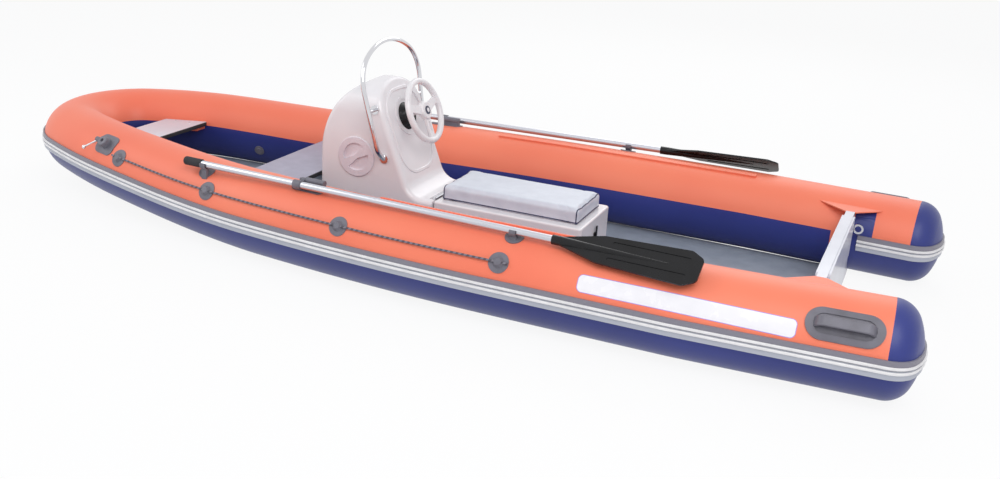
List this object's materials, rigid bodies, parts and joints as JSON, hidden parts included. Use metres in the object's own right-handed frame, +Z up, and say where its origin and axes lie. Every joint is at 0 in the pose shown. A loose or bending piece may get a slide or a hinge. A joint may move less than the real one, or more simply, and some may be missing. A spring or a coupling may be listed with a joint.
{
  "type": "rigid inflatable boat",
  "caption": "Rigid inflatable boat with orange and navy tubes, a white steering console with a lift-up cushioned seat, a grab rail, benches and a pair of stowed oars.",
  "frame": {"origin": "on the centre line at the transom's aft face, at the waterline", "axes": "+X to the bow, +Y to port, +Z up"},
  "size_m": [5.359, 2.0932, 1.221],
  "materials": {
    "orange_fabric": "coated fabric, satin",
    "blue_fabric": "coated fabric, satin",
    "grey_rubber": "satin",
    "white_rubber": "satin",
    "white_gelcoat": "gloss",
    "grey_deck": "non-slip",
    "grey_gelcoat": "gloss",
    "grey_plastic": "satin",
    "steel": "polished",
    "vinyl": "satin",
    "black_plastic": "satin",
    "white_plastic": "gloss",
    "dark_plastic": "gloss",
    "chrome": "polished",
    "aluminium": "satin",
    "rope": "braided"
  },
  "bodies": {
    "boat": {"air_valves": "grey_plastic", "anchor_lever": "steel", "anchor_lock": "grey_plastic", "bench_shelves": "orange_fabric", "bench_tracks": "orange_fabric", "bow_bench": "grey_gelcoat", "carry_handles": "grey_rubber", "console": "white_gelcoat", "console_hatch": "white_plastic", "deck": "grey_deck", "handrail": "chrome", "helm_bezel": "black_plastic", "hull_bottom": "white_gelcoat", "lifelines": "rope", "mid_bench": "grey_gelcoat", "oar_clips": "grey_plastic", "rope_patches": "grey_rubber", "rowlocks": "grey_plastic", "rub_strake": "grey_rubber", "rub_strake_ribs": "white_rubber", "seat_box": "white_gelcoat", "seat_hinge": "steel", "seat_latch": "steel", "stern_cap_port": "blue_fabric", "stern_cap_starboard": "blue_fabric", "transom": "grey_gelcoat", "transom_eyes": "steel", "transom_flaps": "orange_fabric", "transom_knobs": "black_plastic", "transom_pads": "grey_plastic", "tube_lower_bow": "blue_fabric", "tube_lower_port": "blue_fabric", "tube_lower_starboard": "blue_fabric", "tube_upper_bow": "orange_fabric", "tube_upper_port": "orange_fabric", "tube_upper_starboard": "orange_fabric"},
    "steering_wheel": {"steering_wheel": "white_plastic", "wheel_cap": "dark_plastic"},
    "seat_lid": {"seat_lid": "white_gelcoat", "seat_cushion": "vinyl"},
    "oar_port": {"oar_shaft_port": "aluminium", "oar_grip_port": "black_plastic", "oar_blade_port": "black_plastic", "oar_collar_port": "grey_plastic"},
    "oar_starboard": {"oar_shaft_starboard": "aluminium", "oar_grip_starboard": "black_plastic", "oar_blade_starboard": "black_plastic", "oar_collar_starboard": "grey_plastic"}
  },
  "joints": [
    {"name": "steering", "type": "hinge", "parent": "boat", "child": "steering_wheel", "pos_m": [2.294, 0, 0.728], "axis": [-0.9311, 0, 0.3649], "range_deg": [-540, 540]},
    {"name": "seat_lid_hinge", "type": "hinge", "parent": "boat", "child": "seat_lid", "pos_m": [2.113, 0, 0.301], "axis": [0, 1, 0], "range_deg": [0, 80]},
    {"name": "oar_port_lift", "type": "hinge", "parent": "boat", "child": "oar_port", "pos_m": [2.57255, 0.78406, 0.482], "axis": [0.999, -0.0454, 0], "range_deg": [0, 90]},
    {"name": "oar_starboard_lift", "type": "hinge", "parent": "boat", "child": "oar_starboard", "pos_m": [2.57255, -0.78406, 0.482], "axis": [-0.999, -0.0454, 0], "range_deg": [0, 90]}
  ]
}
